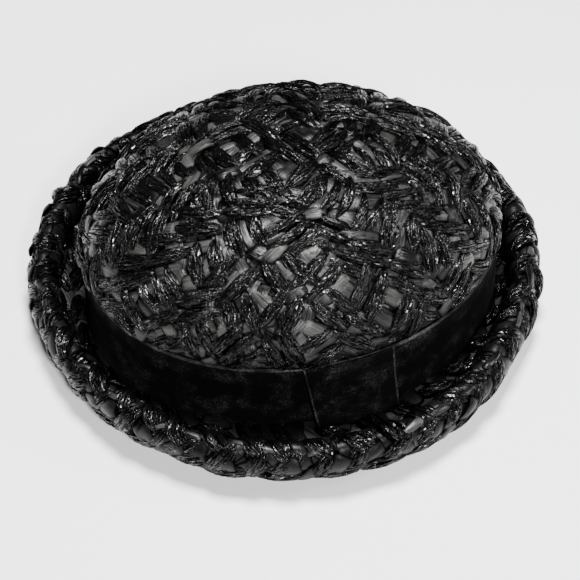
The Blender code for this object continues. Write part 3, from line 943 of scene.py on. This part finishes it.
def make_velvet_group():
    """Black pile whose nap is mottled with painted sheen, and a ribbed grey selvage where the distance given
    lies in a range
    """
    kinds = {"Distance": "Float", "Selvage From": "Float", "Selvage To": "Float"}
    tree, given = start_tree("velvet_nap", kinds, {"Color": "Color", "Normal": "Vector"}, 'ShaderNodeTree')
    spot = put(tree, "ShaderNodeTexCoord").outputs["Object"]
    nap = put(tree, "ShaderNodeTexNoise", {"Vector": spot, "Scale": 85.0, "Detail": 6.0, "Roughness": 0.65})
    pile = put(tree, "ShaderNodeTexNoise", {"Vector": spot, "Scale": 1500.0, "Detail": 1.0})
    past = given["Distance"].step('GREATER_THAN', given["Selvage From"])
    inside = past * given["Distance"].step('LESS_THAN', given["Selvage To"])
    brushed = ((Field(tree, nap.outputs[0]) - 0.43) * 3.6).step('MAXIMUM', 0.0)
    grain = ((Field(tree, pile.outputs[0]) - 0.30) * 3.2).step('MAXIMUM', 0.0)
    # Painted sheen: lighter patches where the brushed nap would catch the light, broken by the pile's grain
    nap_with_painted_sheen = blend(tree, brushed * brushed * grain * grain, PILE_DARK, PILE_PAINTED_SHEEN)
    woven = blend(tree, grain * brushed, SELVAGE_DARK, SELVAGE_LIGHT)
    bump = put(tree, "ShaderNodeBump", {"Height": pile.outputs[0], "Distance": 0.0003, "Strength": 0.8})
    put(tree, "NodeGroupOutput", {"Color": blend(tree, inside, nap_with_painted_sheen, woven), "Normal": bump.outputs[0]})
    return tree


velvet_group = make_velvet_group()


def make_velvet(name, fact, selvage_from, selvage_to):
    """Velvet for one piece, whose selvage lies where the named fact is in the range given"""
    material, tree, shader = start_material(name)
    velvet = put(tree, "ShaderNodeGroup", {
        "Distance": carried(tree, fact), "Selvage From": selvage_from, "Selvage To": selvage_to},
        node_tree=velvet_group)
    feed(tree, shader.inputs["Base Color"], velvet.outputs["Color"])
    feed(tree, shader.inputs["Normal"], velvet.outputs["Normal"])
    shader.inputs["Roughness"].default_value = 0.95
    shader.inputs["Specular IOR Level"].default_value = 0.06
    shader.inputs["Sheen Weight"].default_value = 0.006
    shader.inputs["Sheen Roughness"].default_value = 0.4
    return material


band_length = (band_high.x - band_low.x) / 2
band_width = (band_high.y - band_low.y) / 2
band_height = band_high.z - band_low.z
inside_length = band_length - BAND_SPREAD - BAND_THICKNESS
inside_width = band_width - BAND_SPREAD - BAND_THICKNESS
band_ovals = {**crown_ovals, "Dome Dent": 0.0, "Inner Length": inside_length, "Inner Width": inside_width,
              "Outer Length": inside_length + BAND_SPAN, "Outer Width": inside_width + BAND_SPAN,
              "Span": BAND_SPAN}
band_corners = []
for step in range(BAND_STEPS + 1):
    share = step / BAND_STEPS
    band_corners.append((BAND_THICKNESS + BAND_SPREAD * (1 - share), band_low.z + band_height * share))
band_corners += [(0.0, band_high.z), (BAND_SPREAD, band_low.z)]
band_line, band_line_length = make_line("band_line", band_corners, closed=True)
band_velvet = make_velvet("band_velvet", "arc", band_height - SELVAGE, band_height + 0.0004)
band = run_tree("velvet_ribbon", unit_grid(STEPS_ROUND * 2, 78), back_tree, {
    "Line": band_line, "Line Length": band_line_length, "Relief": BAND_RELIEF, "Material": band_velvet,
    **band_ovals})
band.data.shade_smooth()
bpy.data.objects.remove(band_line, do_unlink=True)
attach(band, "root")
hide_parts("hat_band")
band_rates = [round_rate(math.radians(degree), band_length, band_width) for degree in range(360)]

# Tab over the ribbon's join, at the wearer's left. A second piece of the same ribbon laid upright
# round the band, with a selvage along each side, both a little aslant, and its foot pushed outwards.
TAB_THICKNESS = 0.0012
TAB_TOP = (-0.0215, 0.0215)
TAB_FOOT = (-0.0160, 0.0238)
TAB_KICK = 0.0045
TAB_GAP = 0.0003
TAB_WAVE = 0.0003
TAB_SELVAGE = 0.0009
TAB_COLUMNS = 40
TAB_ROWS = 30

tab_low, tab_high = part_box("band_tab")
tab_mesh = unit_grid(TAB_COLUMNS, TAB_ROWS)
tab_mesh.name = "velvet_tab"
tab_across = []
for corner in tab_mesh.vertices:
    share = corner.co.x
    up = corner.co.y
    front = TAB_FOOT[0] + (TAB_TOP[0] - TAB_FOOT[0]) * up
    back = TAB_FOOT[1] + (TAB_TOP[1] - TAB_FOOT[1]) * up
    place = front + (back - front) * share
    height = tab_low.z + (tab_high.z - tab_low.z) * up
    grown = BAND_SPREAD * (band_high.z - height) / band_height
    half_length = band_length - BAND_SPREAD + TAB_GAP + grown
    half_width = band_width - BAND_SPREAD + TAB_GAP + grown
    angle = math.asin(place / half_length) - math.pi / 2
    ease = TAB_WAVE * math.sin(11.0 * share + 4.0 * up) * math.sin(7.0 * up)
    y = side_shift + half_width * math.sin(angle) - TAB_KICK * (1 - up) ** 2 - abs(ease)
    corner.co = (crown_centre + half_length * math.cos(angle), y, height)
    tab_across.append(min(share, 1 - share) * (back - front))
fact = tab_mesh.attributes.new("from_side", 'FLOAT', 'POINT')
fact.data.foreach_set("value", tab_across)
guide = bpy.data.objects.new("tab_guide", tab_mesh)
scene.collection.objects.link(guide)
wall = guide.modifiers.new("wall", 'SOLIDIFY')
wall.thickness = TAB_THICKNESS
wall.offset = 1.0
view = bpy.context.evaluated_depsgraph_get()
tab = bpy.data.objects.new("velvet_tab", bpy.data.meshes.new_from_object(guide.evaluated_get(view)))
bpy.data.objects.remove(guide, do_unlink=True)
scene.collection.objects.link(tab)
tab.data.shade_smooth()
tab.data.materials.append(make_velvet("tab_velvet", "from_side", -1.0, TAB_SELVAGE))
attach(tab, "root")
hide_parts("band_tab")
